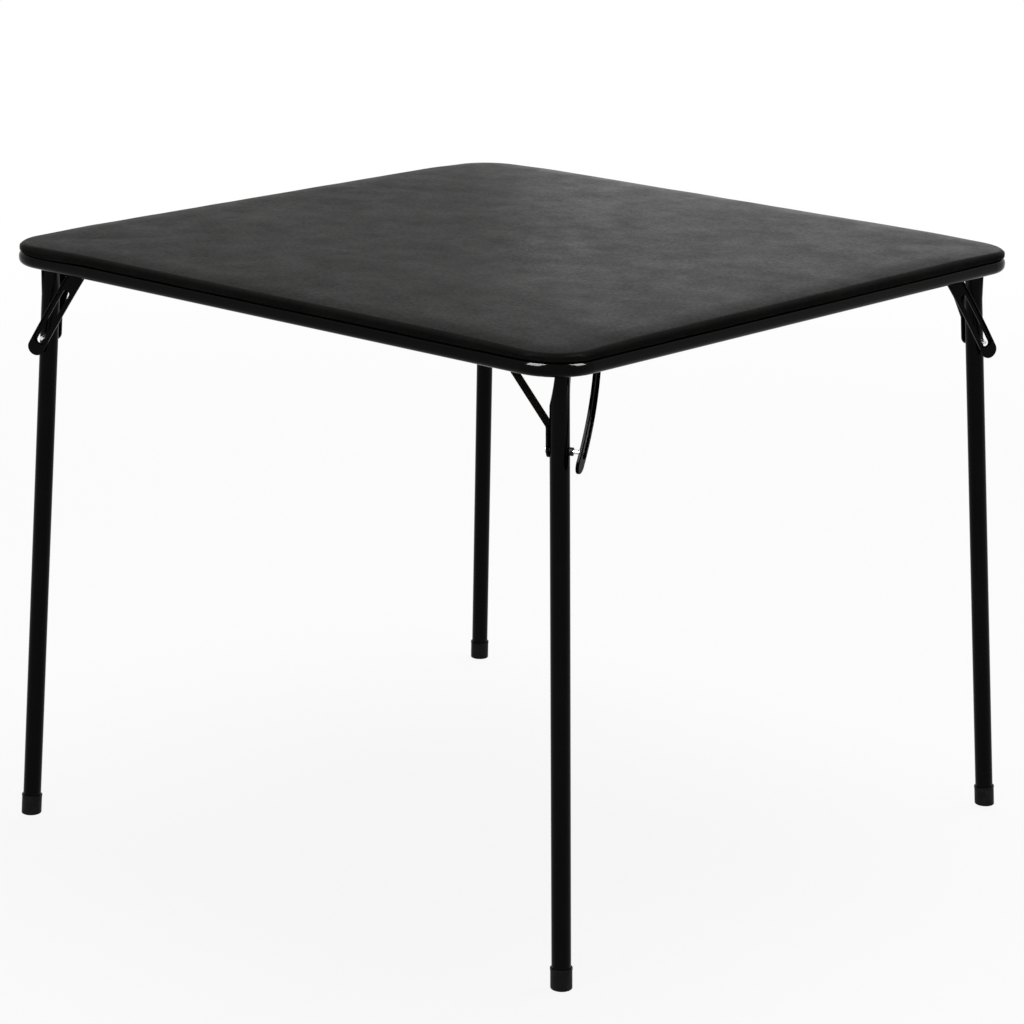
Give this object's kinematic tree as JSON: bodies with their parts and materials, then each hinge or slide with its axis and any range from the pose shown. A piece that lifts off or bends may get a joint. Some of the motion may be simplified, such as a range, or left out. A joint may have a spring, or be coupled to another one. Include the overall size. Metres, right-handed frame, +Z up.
{
  "type": "folding card table",
  "caption": "Folding card table: padded square top on a steel rail frame, with tubular legs that fold flat beneath it on slotted lock braces.",
  "frame": {"origin": "on the floor, under the middle of the table top", "axes": "+Z up; +X and -Y are the two sides that meet at the corner nearest to the picture's camera, the front right corner"},
  "size_m": [0.8755, 0.8752, 0.711],
  "materials": {
    "vinyl": "black vinyl with a fine leather grain, soft gloss",
    "foam": "open foam sheet",
    "fibreboard": "smooth pressed fibreboard",
    "black_enamel": "gloss black enamel on steel",
    "zinc": "bright zinc plate",
    "cap_plastic": "black moulded plastic, satin",
    "collar_plastic": "black nylon"
  },
  "bodies": {
    "root": {"top_cover": "vinyl", "foam_pad": "foam", "board": "fibreboard", "frame_rail": "black_enamel", "rail_sleeve": "zinc", "board_screws": "zinc", "bracket_rail_screws": "zinc", "bracket_board_screws": "zinc", "front_right_bracket": "black_enamel", "front_right_leg_rivet": "zinc", "front_right_strap_rivet": "zinc", "front_right_brace_rivet": "zinc", "front_left_bracket": "black_enamel", "front_left_leg_rivet": "zinc", "front_left_strap_rivet": "zinc", "front_left_brace_rivet": "zinc", "back_right_bracket": "black_enamel", "back_right_leg_rivet": "zinc", "back_right_strap_rivet": "zinc", "back_right_brace_rivet": "zinc", "back_left_bracket": "black_enamel", "back_left_leg_rivet": "zinc", "back_left_strap_rivet": "zinc", "back_left_brace_rivet": "zinc"},
    "front_right_leg": {"front_right_leg_tube": "black_enamel", "front_right_leg_strap": "black_enamel", "front_right_lock_pin": "zinc", "front_right_pin_collar": "collar_plastic", "front_right_foot_cap": "cap_plastic"},
    "front_right_brace": {"front_right_slotted_brace": "black_enamel"},
    "front_left_leg": {"front_left_leg_tube": "black_enamel", "front_left_leg_strap": "black_enamel", "front_left_lock_pin": "zinc", "front_left_pin_collar": "collar_plastic", "front_left_foot_cap": "cap_plastic"},
    "front_left_brace": {"front_left_slotted_brace": "black_enamel"},
    "back_right_leg": {"back_right_leg_tube": "black_enamel", "back_right_leg_strap": "black_enamel", "back_right_lock_pin": "zinc", "back_right_pin_collar": "collar_plastic", "back_right_foot_cap": "cap_plastic"},
    "back_right_brace": {"back_right_slotted_brace": "black_enamel"},
    "back_left_leg": {"back_left_leg_tube": "black_enamel", "back_left_leg_strap": "black_enamel", "back_left_lock_pin": "zinc", "back_left_pin_collar": "collar_plastic", "back_left_foot_cap": "cap_plastic"},
    "back_left_brace": {"back_left_slotted_brace": "black_enamel"}
  },
  "joints": [
    {"name": "front_right_leg_fold", "type": "hinge", "parent": "root", "child": "front_right_leg", "pos_m": [0.39175, -0.38467, 0.686], "axis": [0.9135, 0.4067, 0], "range_deg": [0, 91.3]},
    {"name": "front_right_brace_turn", "type": "hinge", "parent": "root", "child": "front_right_brace", "pos_m": [0.37141, -0.339, 0.686], "axis": [0.9135, 0.4067, 0], "range_deg": [0, 120.05]},
    {"name": "front_left_leg_fold", "type": "hinge", "parent": "root", "child": "front_left_leg", "pos_m": [-0.38467, -0.39175, 0.686], "axis": [0.4067, -0.9135, 0], "range_deg": [0, 92.2]},
    {"name": "front_left_brace_turn", "type": "hinge", "parent": "root", "child": "front_left_brace", "pos_m": [-0.339, -0.37141, 0.686], "axis": [0.4067, -0.9135, 0], "range_deg": [0, 120.74]},
    {"name": "back_right_leg_fold", "type": "hinge", "parent": "root", "child": "back_right_leg", "pos_m": [0.39175, 0.38467, 0.686], "axis": [-0.9135, 0.4067, 0], "range_deg": [0, 90.9]},
    {"name": "back_right_brace_turn", "type": "hinge", "parent": "root", "child": "back_right_brace", "pos_m": [0.37141, 0.339, 0.686], "axis": [-0.9135, 0.4067, 0], "range_deg": [0, 114.98]},
    {"name": "back_left_leg_fold", "type": "hinge", "parent": "root", "child": "back_left_leg", "pos_m": [-0.38518, 0.38568, 0.686], "axis": [-0.4067, -0.9135, 0], "range_deg": [0, 90.5]},
    {"name": "back_left_brace_turn", "type": "hinge", "parent": "root", "child": "back_left_brace", "pos_m": [-0.33951, 0.36534, 0.686], "axis": [-0.4067, -0.9135, 0], "range_deg": [0, 114.68]}
  ],
  "couplings": [
    {"joint": "front_right_brace_turn", "follows": "front_right_leg_fold", "ratio": 1.3148},
    {"joint": "front_left_brace_turn", "follows": "front_left_leg_fold", "ratio": 1.3094},
    {"joint": "back_right_brace_turn", "follows": "back_right_leg_fold", "ratio": 1.2648},
    {"joint": "back_left_brace_turn", "follows": "back_left_leg_fold", "ratio": 1.2671}
  ]
}
